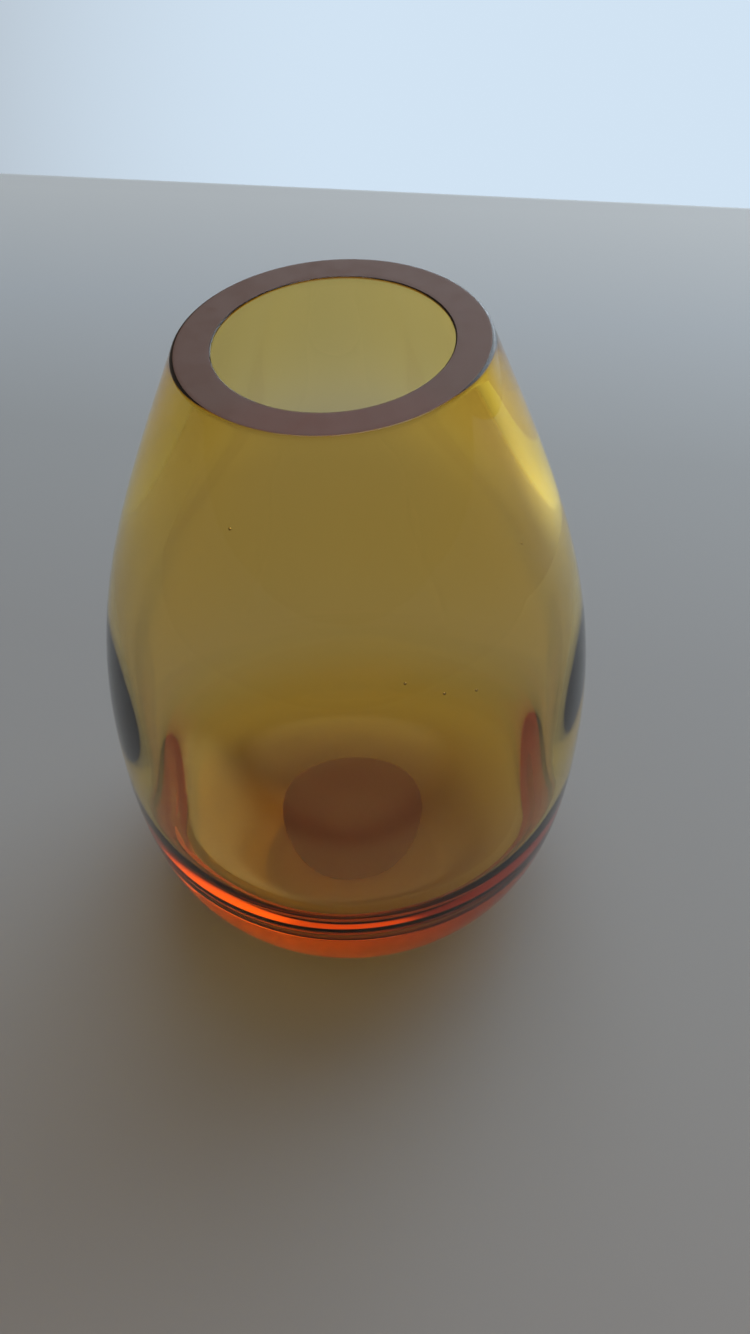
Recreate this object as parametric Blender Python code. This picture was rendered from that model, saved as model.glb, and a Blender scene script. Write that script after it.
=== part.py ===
"""Amber glass bud vase: a stout, thick-walled egg of glass with a flat ground foot and a flat cut rim.

Units are metres and +Z is up. The origin is the centre of the foot, on the plane that the vase stands on.
The vase is one piece of glass: its wall, shoulder, rim and base are a single body with one open cavity.
Curves are Bezier curves through (radius, height) points, turned round the Z axis.
"""

import math

import bmesh
import bpy

# Outside
HEIGHT = 0.1120                  # standing plane to the middle of the rim plane
RIM_SLANT = math.radians(2.6)    # the rim was cut a little out of square and rises towards +X
RIM_RADIUS = 0.02243
BELLY_RADIUS = 0.04127
BELLY_HEIGHT = 0.0422
HIP_RADIUS = 0.03592             # where the lower side turns in towards the foot
HIP_HEIGHT = 0.00936
FOOT_RADIUS = 0.0153             # the flat that is ground on the bottom of the egg

# Cavity
MOUTH_RADIUS = 0.01682
CAVITY_RADIUS = 0.0386
CAVITY_BELLY_HEIGHT = 0.0380     # where the cavity is widest
BASE_THICKNESS = 0.0108          # solid glass under the middle of the bowl
BOWL_SQUARENESS = 3.0            # 2 is an elliptical bowl, more is squarer at its corner

# How the outside bends: a slope is radius per unit of height, a reach is how far a curve's handle goes
RIM_SLOPE = 0.42
RIM_REACH = 0.0278
BELLY_REACH_UP = 0.0247
BELLY_REACH_DOWN = 0.0166
HIP_SLOPE = 0.6
HIP_REACH_UP = 0.0061
HIP_REACH_DOWN = 0.0034
FOOT_ANGLE = math.radians(18)    # between the standing plane and the glass that rises from the foot
FOOT_REACH = 0.0114

# How the cavity bends
MOUTH_SLOPE = 0.41
MOUTH_REACH = 0.0370
CAVITY_REACH = 0.0380
OVERRUN = 1.06                   # the walls are drawn a little past the rim plane, which then cuts them

# Rim edges
RIM_CHAMFER = 0.0005             # width of the polished chamfer on both edges of the cut rim

# Fineness of the solid
MERIDIANS = 64
FOOT_STEPS = 6
LOWER_STEPS = 5
UPPER_STEPS = 10
INNER_STEPS = 10
BOWL_STEPS = 9

AMBER = (0.80, 0.47, 0.06, 1.0)


def between(start, end, t):
    """Point a share t of the way from start to end."""
    return tuple(a + (b - a) * t for a, b in zip(start, end))


def bezier(handles, t):
    """Point at t on the curve that the handles shape, by repeated interpolation (also a little past its ends)."""
    while len(handles) > 1:
        handles = [between(a, b, t) for a, b in zip(handles, handles[1:])]
    return handles[0]


FOOT_CURVE = [
    (FOOT_RADIUS, 0.0),
    (FOOT_RADIUS + FOOT_REACH, FOOT_REACH * math.tan(FOOT_ANGLE)),
    (HIP_RADIUS - HIP_REACH_DOWN * HIP_SLOPE, HIP_HEIGHT - HIP_REACH_DOWN),
    (HIP_RADIUS, HIP_HEIGHT),
]
LOWER_SIDE = [
    (HIP_RADIUS, HIP_HEIGHT),
    (HIP_RADIUS + HIP_REACH_UP * HIP_SLOPE, HIP_HEIGHT + HIP_REACH_UP),
    (BELLY_RADIUS, BELLY_HEIGHT - BELLY_REACH_DOWN),
    (BELLY_RADIUS, BELLY_HEIGHT),
]
OUTER_WALL = [
    (BELLY_RADIUS, BELLY_HEIGHT),
    (BELLY_RADIUS, BELLY_HEIGHT + BELLY_REACH_UP),
    (RIM_RADIUS + RIM_REACH * RIM_SLOPE, HEIGHT - RIM_REACH),
    (RIM_RADIUS, HEIGHT),
]
INNER_WALL = [
    (CAVITY_RADIUS, CAVITY_BELLY_HEIGHT),
    (CAVITY_RADIUS, CAVITY_BELLY_HEIGHT + CAVITY_REACH),
    (MOUTH_RADIUS + MOUTH_REACH * MOUTH_SLOPE, HEIGHT - MOUTH_REACH),
    (MOUTH_RADIUS, HEIGHT),
]


def crossing(curve, height_above):
    """Parameter at which a rising curve reaches the plane that height_above is measured from."""
    low, high = 0.0, OVERRUN
    for _ in range(40):
        middle = (low + high) / 2
        if height_above(bezier(curve, middle)) < 0:
            low = middle
        else:
            high = middle
    return (low + high) / 2


def outline(angle):
    """Outline of the glass on one meridian, from the foot over the rim to the bowl, as (radius, height) points."""
    rise = math.cos(angle) * math.tan(RIM_SLANT)

    def above_rim_plane(point):
        return point[1] - HEIGHT - point[0] * rise

    # foot, lower side and outer wall, up to the chamfer below the rim plane
    points = [bezier(FOOT_CURVE, step / FOOT_STEPS) for step in range(FOOT_STEPS + 1)]
    points += [bezier(LOWER_SIDE, step / LOWER_STEPS) for step in range(1, LOWER_STEPS + 1)]
    outer_top = crossing(OUTER_WALL, lambda point: above_rim_plane(point) + RIM_CHAMFER)
    points += [bezier(OUTER_WALL, outer_top * step / UPPER_STEPS) for step in range(1, UPPER_STEPS + 1)]

    # flat rim between its two chamfers
    outer_corner = bezier(OUTER_WALL, crossing(OUTER_WALL, above_rim_plane))
    inner_corner = bezier(INNER_WALL, crossing(INNER_WALL, above_rim_plane))
    chamfer_share = RIM_CHAMFER / (outer_corner[0] - inner_corner[0])
    points.append(between(outer_corner, inner_corner, chamfer_share))
    points.append(between(inner_corner, outer_corner, chamfer_share))

    # inner wall, down to the widest part of the cavity
    inner_top = crossing(INNER_WALL, lambda point: above_rim_plane(point) + RIM_CHAMFER)
    points += [bezier(INNER_WALL, inner_top * step / INNER_STEPS) for step in range(INNER_STEPS, -1, -1)]

    # bowl at the bottom of the cavity, a quarter of a superellipse, short of its centre
    depth = CAVITY_BELLY_HEIGHT - BASE_THICKNESS
    for step in range(1, BOWL_STEPS):
        turn = math.pi / 2 * step / BOWL_STEPS
        across = math.cos(turn) ** (2 / BOWL_SQUARENESS)
        down = math.sin(turn) ** (2 / BOWL_SQUARENESS)
        points.append((CAVITY_RADIUS * across, CAVITY_BELLY_HEIGHT - depth * down))
    return points


def glass_mesh():
    """Closed mesh through the outlines of all meridians, with a fan over the foot and over the bowl's centre."""
    body = bmesh.new()
    foot_centre = body.verts.new((0.0, 0.0, 0.0))
    bowl_centre = body.verts.new((0.0, 0.0, BASE_THICKNESS))
    columns = []
    for meridian in range(MERIDIANS):
        angle = 2 * math.pi * meridian / MERIDIANS
        across, along = math.cos(angle), math.sin(angle)
        columns.append([body.verts.new((r * across, r * along, z)) for r, z in outline(angle)])

    for this, following in zip(columns, columns[1:] + columns[:1]):
        body.faces.new((foot_centre, following[0], this[0]))
        for low in range(len(this) - 1):
            body.faces.new((this[low], following[low], following[low + 1], this[low + 1]))
        body.faces.new((bowl_centre, this[-1], following[-1]))

    mesh = bpy.data.meshes.new("glass_body")
    body.to_mesh(mesh)
    body.free()
    mesh.shade_smooth()
    mesh.set_sharp_from_angle(angle=math.radians(30))
    return mesh


def amber_glass():
    """Clear amber glass with a polished surface."""
    material = bpy.data.materials.new("amber_glass")
    material.use_nodes = True
    shader = material.node_tree.nodes["Principled BSDF"]
    shader.inputs["Base Color"].default_value = AMBER
    shader.inputs["Metallic"].default_value = 0.0
    shader.inputs["Roughness"].default_value = 0.03
    shader.inputs["IOR"].default_value = 1.5
    shader.inputs["Transmission Weight"].default_value = 1.0
    return material


for item in list(bpy.data.objects):
    bpy.data.objects.remove(item, do_unlink=True)

vase = bpy.data.objects.new("glass_body", glass_mesh())
vase.data.materials.append(amber_glass())
bpy.context.scene.collection.objects.link(vase)
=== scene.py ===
"""Looks of an amber glass bud vase that stands on a pale table, lit softly from behind.

Units are metres, +Z is up and the vase stands on the plane Z = 0, in the frame of its CAD part.
The glass is one closed mesh, made of curves of (radius, height) points turned round the Z axis. The few
air bubbles in its wall, which glassmakers call seeds, are small closed spheres in the same mesh.
"""

import math

import bmesh
import bpy
from mathutils import Matrix, Vector


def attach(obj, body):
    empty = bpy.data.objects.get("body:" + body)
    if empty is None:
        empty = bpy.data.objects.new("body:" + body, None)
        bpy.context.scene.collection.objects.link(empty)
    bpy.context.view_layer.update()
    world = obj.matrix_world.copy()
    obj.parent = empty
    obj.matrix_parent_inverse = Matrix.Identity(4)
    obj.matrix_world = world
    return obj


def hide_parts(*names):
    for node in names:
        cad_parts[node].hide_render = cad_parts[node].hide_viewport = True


# ---- outside of the glass ----
HEIGHT = 0.1120                  # standing plane to the middle of the rim plane
RIM_SLANT = math.radians(2.6)    # the rim rises towards +X
RIM_RADIUS = 0.02243
BELLY_RADIUS = 0.04127
BELLY_HEIGHT = 0.0422
HIP_RADIUS = 0.03592
HIP_HEIGHT = 0.00936
FOOT_RADIUS = 0.0153

# ---- cavity ----
MOUTH_RADIUS = 0.01682
CAVITY_RADIUS = 0.0386
CAVITY_BELLY_HEIGHT = 0.0380
BASE_THICKNESS = 0.0108
BOWL_SQUARENESS = 3.0            # 2 is an elliptical bowl, more is squarer at its corner

# ---- bends: a slope is radius per unit of height, a reach is how far a curve's handle goes ----
RIM_SLOPE = 0.42
RIM_REACH = 0.0278
BELLY_REACH_UP = 0.0247
BELLY_REACH_DOWN = 0.0166
HIP_SLOPE = 0.6
HIP_REACH_UP = 0.0061
HIP_REACH_DOWN = 0.0034
FOOT_ANGLE = math.radians(18)
FOOT_REACH = 0.0114
MOUTH_SLOPE = 0.41
MOUTH_REACH = 0.0370
CAVITY_REACH = 0.0380
OVERRUN = 1.06                   # walls are drawn a little past the rim plane, which then cuts them
HALVINGS = 40                    # steps in which a wall's crossing with the rim plane is closed in on

# ---- polish and making ----
EDGE_ROUNDING = 0.0005           # radius that polishing leaves on the rim's edges
WAVINESS = 0.00010               # how far the blown inner wall wanders
WAVES = [(3, 0.8, 20, 1.0), (7, 2.1, -35, 0.6)]  # waves round the wall, start, twist per metre, share
STILL_RADIUS = 0.03              # the waves fade out from here towards the middle of the bowl
STILL_BELOW_RIM = 0.006          # no waves this near the rim
STILL_FADE = 0.02                # height over which they come up below that
SEED_RADIUS = 0.00022
SEEDS = [                        # (degrees round Z, radius, height)
    (-123, 0.0272, 0.098),
    (-77, 0.0344, 0.078),
    (-68, 0.0356, 0.075),
    (-60, 0.0361, 0.0735),
    (35, 0.0380, 0.060),
    (150, 0.0330, 0.0845),
]

# ---- fineness of the mesh ----
MERIDIANS = 256
FLAT_STEPS = 12                  # across the foot and across the rim
LOWER_STEPS = 40
WALL_STEPS = 80
EDGE_STEPS = 6
BOWL_STEPS = 60
SEED_SUBDIVISIONS = 3
SHARP_ANGLE = math.radians(14)
FLATNESS = 1e-5                  # how near a plane a face's centre is to count as lying in it
RIM_ZONE = 0.002                 # no face of the cut rim lies more than this below the middle of its plane

# ---- glass: each roughness is the range that the smudges or the grain cover ----
GLASS_COLOUR = (1.0, 0.89, 0.80)
ABSORPTION_COLOUR = (0.988, 0.885, 0.19)
ABSORPTION_DENSITY = 250.0
IOR = 1.5
POLISHED_ROUGHNESS = (0.0, 0.035)
POLISHED_GRAIN = 60.0
GROUND_ROUGHNESS = (0.42, 0.60)
GROUND_GRAIN = 900.0
CUT_ROUGHNESS = (0.34, 0.48)
CUT_GRAIN = 400.0
# painted shade: the cut rim's dark brown, partly diffuse colour stands in for the dim light that comes up
# through the thick wall; its satin finish is real
CUT_PAINTED_SHADE_COLOUR = (0.40, 0.20, 0.14)
CUT_CLEARNESS = 0.6
GRAIN_DETAIL = 4.0
GRAIN_RANGE = (0.4, 0.7)         # part of the noise that the roughness range is spread over
POLISHED, GROUND, CUT = range(3)  # material slots

# ---- table ----
# painted light and painted reflection: the table's own pale grey near the vase grows paler and bluer towards
# the far edge, standing in for the window's light and the backdrop's sheen
TABLE_TONE_AND_PAINTED_LIGHT = [                 # (distance behind the vase, colour)
    (-0.12, (0.46, 0.45, 0.44)),
    (-0.04, (0.46, 0.47, 0.47)),
    (0.05, (0.47, 0.50, 0.52)),
    (0.13, (0.52, 0.58, 0.62)),
    (0.20, (0.66, 0.76, 0.84)),
    (0.27, (0.84, 0.94, 1.0)),
]
TABLE_ROUGHNESS = 0.55
TABLE_REACH = 1.5                # how far the table goes to each side and to the front
TABLE_BACK = 0.285               # where the table's far edge crosses the Y axis
TABLE_EDGE_RADIUS = 0.006
TABLE_EDGE_STEPS = 12
TABLE_SLANT = -0.171             # how the far edge runs back or forward per metre of X
TABLE_GAP = 0.0003               # the table's top lies this far below the foot

# ---- light: each is (azimuth from +Y towards +X and elevation, cosines of its soft edge, colour) ----
ROOM = (0.19, 0.155, 0.125)
BACKDROP = ((20, -22), (0.66, 0.96), (0.64, 0.77, 0.90))
WINDOW = ((37, 19), (0.80, 0.97), (2.21, 2.47, 2.73))
OVERHEAD = ((5, 68), (0.93, 0.985), (1.35, 1.4, 1.45))
BEHIND = ((2, 30), (0.94, 0.985), (1.0, 1.0, 1.05))

# ---- camera ----
CAMERA_PLACE = (0.0, -0.15396, 0.20723)
CAMERA_PITCH = math.radians(46.27)   # downwards
CAMERA_YAW = math.radians(1.761)     # from +Y towards +X
CAMERA_ROLL = math.radians(-1.0107)
CAMERA_LENS = 34.19
CAMERA_SENSOR = 36.0
CAMERA_CLIP = 0.001

# ---- light paths ----
BOUNCES = 24
BRIGHTEST_BOUNCE = 4.0
GLOSSY_BLUR = 0.5

# ---- where a mix node keeps its colour sockets ----
MIX_FIRST, MIX_SECOND, MIX_RESULT = 6, 7, 2


def between(start, end, t):
    """Point a share t of the way from start to end."""
    return tuple(a + (b - a) * t for a, b in zip(start, end))


def bezier(handles, t):
    """Point at t on the curve that the handles shape, by repeated interpolation. t may go a little over 1."""
    while len(handles) > 1:
        handles = [between(a, b, t) for a, b in zip(handles, handles[1:])]
    return handles[0]


FOOT_CURVE = [
    (FOOT_RADIUS, 0.0),
    (FOOT_RADIUS + FOOT_REACH, FOOT_REACH * math.tan(FOOT_ANGLE)),
    (HIP_RADIUS - HIP_REACH_DOWN * HIP_SLOPE, HIP_HEIGHT - HIP_REACH_DOWN),
    (HIP_RADIUS, HIP_HEIGHT),
]
LOWER_SIDE = [
    (HIP_RADIUS, HIP_HEIGHT),
    (HIP_RADIUS + HIP_REACH_UP * HIP_SLOPE, HIP_HEIGHT + HIP_REACH_UP),
    (BELLY_RADIUS, BELLY_HEIGHT - BELLY_REACH_DOWN),
    (BELLY_RADIUS, BELLY_HEIGHT),
]
OUTER_WALL = [
    (BELLY_RADIUS, BELLY_HEIGHT),
    (BELLY_RADIUS, BELLY_HEIGHT + BELLY_REACH_UP),
    (RIM_RADIUS + RIM_REACH * RIM_SLOPE, HEIGHT - RIM_REACH),
    (RIM_RADIUS, HEIGHT),
]
INNER_WALL = [
    (CAVITY_RADIUS, CAVITY_BELLY_HEIGHT),
    (CAVITY_RADIUS, CAVITY_BELLY_HEIGHT + CAVITY_REACH),
    (MOUTH_RADIUS + MOUTH_REACH * MOUTH_SLOPE, HEIGHT - MOUTH_REACH),
    (MOUTH_RADIUS, HEIGHT),
]


def crossing(curve, height_above):
    """Parameter at which a rising curve reaches the plane that height_above is measured from."""
    low, high = 0.0, OVERRUN
    for _ in range(HALVINGS):
        middle = (low + high) / 2
        if height_above(bezier(curve, middle)) < 0:
            low = middle
        else:
            high = middle
    return (low + high) / 2


def rounded(before, corner, after):
    """Points that round off a corner, without the first one."""
    return [bezier([before, corner, after], step / EDGE_STEPS) for step in range(1, EDGE_STEPS + 1)]


def outline(angle):
    """Outline of the glass on one meridian, foot to rim to bowl, as (radius, height) points."""
    rise = math.cos(angle) * math.tan(RIM_SLANT)

    def above_rim_plane(point):
        return point[1] - HEIGHT - point[0] * rise

    # ground foot, underside, lower side and outer wall
    points = [(FOOT_RADIUS * step / FLAT_STEPS, 0.0) for step in range(1, FLAT_STEPS)]
    points += [bezier(FOOT_CURVE, step / LOWER_STEPS) for step in range(LOWER_STEPS + 1)]
    points += [bezier(LOWER_SIDE, step / LOWER_STEPS) for step in range(1, LOWER_STEPS + 1)]
    outer_top = crossing(OUTER_WALL, lambda point: above_rim_plane(point) + EDGE_ROUNDING)
    points += [bezier(OUTER_WALL, outer_top * step / WALL_STEPS) for step in range(1, WALL_STEPS + 1)]

    # flat cut rim with polished edges
    outer_corner = bezier(OUTER_WALL, crossing(OUTER_WALL, above_rim_plane))
    inner_corner = bezier(INNER_WALL, crossing(INNER_WALL, above_rim_plane))
    share = EDGE_ROUNDING / (outer_corner[0] - inner_corner[0])
    flat_start = between(outer_corner, inner_corner, share)
    flat_end = between(inner_corner, outer_corner, share)
    points += rounded(points[-1], outer_corner, flat_start)
    points += [between(flat_start, flat_end, step / FLAT_STEPS) for step in range(1, FLAT_STEPS + 1)]
    inner_top = crossing(INNER_WALL, lambda point: above_rim_plane(point) + EDGE_ROUNDING)
    points += rounded(flat_end, inner_corner, bezier(INNER_WALL, inner_top))

    # inner wall and bowl (a quarter of a superellipse), which the blowing left a little uneven
    inside = [bezier(INNER_WALL, inner_top * (1 - step / WALL_STEPS)) for step in range(1, WALL_STEPS + 1)]
    depth = CAVITY_BELLY_HEIGHT - BASE_THICKNESS
    for step in range(1, BOWL_STEPS):
        turn = math.pi / 2 * step / BOWL_STEPS
        across = math.cos(turn) ** (2 / BOWL_SQUARENESS)
        down = math.sin(turn) ** (2 / BOWL_SQUARENESS)
        inside.append((CAVITY_RADIUS * across, CAVITY_BELLY_HEIGHT - depth * down))
    for radius, height in inside:
        below_rim = max(0.0, HEIGHT - STILL_BELOW_RIM - height)
        fade = min(1.0, radius / STILL_RADIUS) * min(1.0, below_rim / STILL_FADE)
        wave = sum(
            part * math.sin(count * angle + start + twist * height) for count, start, twist, part in WAVES
        )
        points.append((radius + WAVINESS * fade * wave, height))
    return points


def add_seed(body, degrees, radius, height):
    """Air bubble in the glass: a small sphere whose faces point into it, away from the glass."""
    turn = math.radians(degrees)
    place = Matrix.Translation((radius * math.cos(turn), radius * math.sin(turn), height))
    seed = bmesh.ops.create_icosphere(body, subdivisions=SEED_SUBDIVISIONS, radius=SEED_RADIUS, matrix=place)
    faces = {face for vertex in seed["verts"] for face in vertex.link_faces}
    bmesh.ops.reverse_faces(body, faces=list(faces))


def surface(face):
    """Material slot of a face: the ground foot, the flat of the cut rim, or the polished rest."""
    centre = face.calc_center_median()
    above_rim_plane = centre.z - HEIGHT - centre.x * math.tan(RIM_SLANT)
    if centre.z < FLATNESS and math.hypot(centre.x, centre.y) < FOOT_RADIUS:
        return GROUND
    if centre.z > HEIGHT - RIM_ZONE and abs(above_rim_plane) < FLATNESS:
        return CUT
    return POLISHED


def glass_mesh():
    """Closed mesh through all the outlines, with a fan at the middle of the foot and of the bowl."""
    body = bmesh.new()
    foot_centre = body.verts.new((0.0, 0.0, 0.0))
    bowl_centre = body.verts.new((0.0, 0.0, BASE_THICKNESS))
    columns = []
    for meridian in range(MERIDIANS):
        angle = 2 * math.pi * meridian / MERIDIANS
        across, along = math.cos(angle), math.sin(angle)
        columns.append([body.verts.new((r * across, r * along, z)) for r, z in outline(angle)])
    for this, following in zip(columns, columns[1:] + columns[:1]):
        body.faces.new((foot_centre, following[0], this[0]))
        for low in range(len(this) - 1):
            body.faces.new((this[low], following[low], following[low + 1], this[low + 1]))
        body.faces.new((bowl_centre, this[-1], following[-1]))
    for seed in SEEDS:
        add_seed(body, *seed)

    for face in body.faces:
        face.smooth = True
        face.material_index = surface(face)
    mesh = bpy.data.meshes.new("glass_body_look")
    body.to_mesh(mesh)
    body.free()
    mesh.set_sharp_from_angle(angle=SHARP_ANGLE)
    return mesh


def new_material(name):
    """Material that is made of nodes, with its nodes and links."""
    material = bpy.data.materials.new(name)
    material.use_nodes = True
    return material, material.node_tree.nodes, material.node_tree.links


def spread(nodes, links, value, source, target=(0.0, 1.0), interpolation="LINEAR"):
    """Socket that goes over the target range while the value goes over the source range."""
    node = nodes.new("ShaderNodeMapRange")
    node.interpolation_type = interpolation
    node.inputs["From Min"].default_value, node.inputs["From Max"].default_value = source
    node.inputs["To Min"].default_value, node.inputs["To Max"].default_value = target
    links.new(value, node.inputs["Value"])
    return node.outputs["Result"]


def along(nodes, links, vector, direction):
    """Socket with how far a vector goes along a direction."""
    node = nodes.new("ShaderNodeVectorMath")
    node.operation = "DOT_PRODUCT"
    node.inputs[1].default_value = direction
    links.new(vector, node.inputs[0])
    return node.outputs["Value"]


def glass(name, roughness, grain, colour=GLASS_COLOUR, clearness=1.0):
    """Amber glass: the light is filtered a little at the surface and more with each millimetre inside."""
    material, nodes, links = new_material(name)
    shader = nodes["Principled BSDF"]
    shader.inputs["Base Color"].default_value = (*colour, 1.0)
    shader.inputs["IOR"].default_value = IOR
    shader.inputs["Transmission Weight"].default_value = clearness
    noise = nodes.new("ShaderNodeTexNoise")
    noise.inputs["Scale"].default_value = grain
    noise.inputs["Detail"].default_value = GRAIN_DETAIL
    links.new(nodes.new("ShaderNodeTexCoord").outputs["Object"], noise.inputs["Vector"])
    uneven = spread(nodes, links, noise.outputs["Fac"], GRAIN_RANGE, roughness)
    links.new(uneven, shader.inputs["Roughness"])
    absorption = nodes.new("ShaderNodeVolumeAbsorption")
    absorption.inputs["Color"].default_value = (*ABSORPTION_COLOUR, 1.0)
    absorption.inputs["Density"].default_value = ABSORPTION_DENSITY
    links.new(absorption.outputs["Volume"], nodes["Material Output"].inputs["Volume"])
    return material


def table_material():
    """Smooth, pale surface with painted light: it gets paler and bluer towards the far edge, as window light
    and the pale blue backdrop's sheen would make it.
    """
    material, nodes, links = new_material("table_top")
    shader = nodes["Principled BSDF"]
    shader.inputs["Roughness"].default_value = TABLE_ROUGHNESS
    place = nodes.new("ShaderNodeTexCoord").outputs["Object"]
    nearest, farthest = TABLE_TONE_AND_PAINTED_LIGHT[0][0], TABLE_TONE_AND_PAINTED_LIGHT[-1][0]
    distance = along(nodes, links, place, (-TABLE_SLANT, 1.0, 0.0))
    shade = nodes.new("ShaderNodeValToRGB")
    links.new(spread(nodes, links, distance, (nearest, farthest)), shade.inputs["Fac"])
    stops = shade.color_ramp.elements
    while len(stops) < len(TABLE_TONE_AND_PAINTED_LIGHT):
        stops.new(0.5)
    for stop, (depth, colour) in zip(stops, TABLE_TONE_AND_PAINTED_LIGHT):
        stop.position = (depth - nearest) / (farthest - nearest)
        stop.color = (*colour, 1.0)
    links.new(shade.outputs["Color"], shader.inputs["Base Color"])
    return material


def table_top():
    """Pale table whose rounded far edge runs a little askew."""
    points = [(-TABLE_REACH, -TABLE_REACH, 0.0), (TABLE_REACH, -TABLE_REACH, 0.0)]
    for step in range(TABLE_EDGE_STEPS + 1):
        turn = math.pi / 2 * step / TABLE_EDGE_STEPS
        back = TABLE_BACK - TABLE_EDGE_RADIUS * (1 - math.sin(turn))
        drop = -TABLE_EDGE_RADIUS * (1 - math.cos(turn))
        points += [(x, back + x * TABLE_SLANT, drop) for x in (-TABLE_REACH, TABLE_REACH)]
    faces = [(row, row + 1, row + 3, row + 2) for row in range(0, len(points) - 2, 2)]
    mesh = bpy.data.meshes.new("table_top")
    mesh.from_pydata(points, [], faces)
    mesh.shade_smooth()
    mesh.materials.append(table_material())
    table = bpy.data.objects.new("table_top", mesh)
    table.location.z = -TABLE_GAP
    bpy.context.scene.collection.objects.link(table)
    return table


def blend(nodes, links, share, first, second):
    """Colour that goes from first, which is a socket or a plain colour, to the plain colour second."""
    mix = nodes.new("ShaderNodeMix")
    mix.data_type = "RGBA"
    links.new(share, mix.inputs["Factor"])
    if isinstance(first, tuple):
        mix.inputs[MIX_FIRST].default_value = (*first, 1.0)
    else:
        links.new(first, mix.inputs[MIX_FIRST])
    mix.inputs[MIX_SECOND].default_value = (*second, 1.0)
    return mix.outputs[MIX_RESULT]


def surroundings():
    """Dim room with a pale blue backdrop, a window on the right and soft lights overhead and behind."""
    world = bpy.data.worlds.new("surroundings")
    world.use_nodes = True
    nodes, links = world.node_tree.nodes, world.node_tree.links
    view = nodes.new("ShaderNodeTexCoord").outputs["Generated"]
    colour = ROOM
    for aim, edge, light in (BACKDROP, WINDOW, OVERHEAD, BEHIND):
        azimuth, elevation = map(math.radians, aim)
        direction = (
            math.sin(azimuth) * math.cos(elevation),
            math.cos(azimuth) * math.cos(elevation),
            math.sin(elevation),
        )
        nearness = along(nodes, links, view, direction)
        share = spread(nodes, links, nearness, edge, interpolation="SMOOTHSTEP")
        colour = blend(nodes, links, share, colour, light)
    links.new(colour, nodes["Background"].inputs["Color"])
    bpy.context.scene.world = world


def camera():
    """Camera that looks down on the vase from the front."""
    data = bpy.data.cameras.new("camera")
    data.sensor_width = CAMERA_SENSOR
    data.lens = CAMERA_LENS
    data.clip_start = CAMERA_CLIP
    level = Vector((math.cos(CAMERA_YAW), -math.sin(CAMERA_YAW), 0.0))
    forward = Vector((
        math.sin(CAMERA_YAW) * math.cos(CAMERA_PITCH),
        math.cos(CAMERA_YAW) * math.cos(CAMERA_PITCH),
        -math.sin(CAMERA_PITCH),
    ))
    upright = level.cross(forward)
    right = level * math.cos(CAMERA_ROLL) + upright * math.sin(CAMERA_ROLL)
    up = upright * math.cos(CAMERA_ROLL) - level * math.sin(CAMERA_ROLL)
    item = bpy.data.objects.new("camera", data)
    item.matrix_world = Matrix.Translation(CAMERA_PLACE) @ Matrix((right, up, -forward)).transposed().to_4x4()
    bpy.context.scene.collection.objects.link(item)
    bpy.context.scene.camera = item


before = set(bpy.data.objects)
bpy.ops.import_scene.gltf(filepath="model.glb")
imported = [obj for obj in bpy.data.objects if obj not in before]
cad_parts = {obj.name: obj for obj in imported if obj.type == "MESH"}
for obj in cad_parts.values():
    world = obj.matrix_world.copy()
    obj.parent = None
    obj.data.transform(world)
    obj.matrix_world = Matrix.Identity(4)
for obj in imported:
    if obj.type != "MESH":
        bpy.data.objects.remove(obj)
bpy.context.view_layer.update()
scene = bpy.context.scene

vase = bpy.data.objects.new("glass_body_look", glass_mesh())
vase.data.materials.append(glass("amber_glass_polished", POLISHED_ROUGHNESS, POLISHED_GRAIN))
vase.data.materials.append(glass("amber_glass_ground", GROUND_ROUGHNESS, GROUND_GRAIN))
vase.data.materials.append(glass("amber_glass_cut", CUT_ROUGHNESS, CUT_GRAIN, CUT_PAINTED_SHADE_COLOUR, CUT_CLEARNESS))
scene.collection.objects.link(vase)
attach(vase, "root")
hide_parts("glass_body")

table_top()
surroundings()
camera()

scene.view_settings.view_transform = "Standard"
scene.cycles.max_bounces = BOUNCES
scene.cycles.transmission_bounces = BOUNCES
scene.cycles.caustics_refractive = True
scene.cycles.caustics_reflective = True
scene.cycles.sample_clamp_indirect = BRIGHTEST_BOUNCE
scene.cycles.blur_glossy = GLOSSY_BLUR
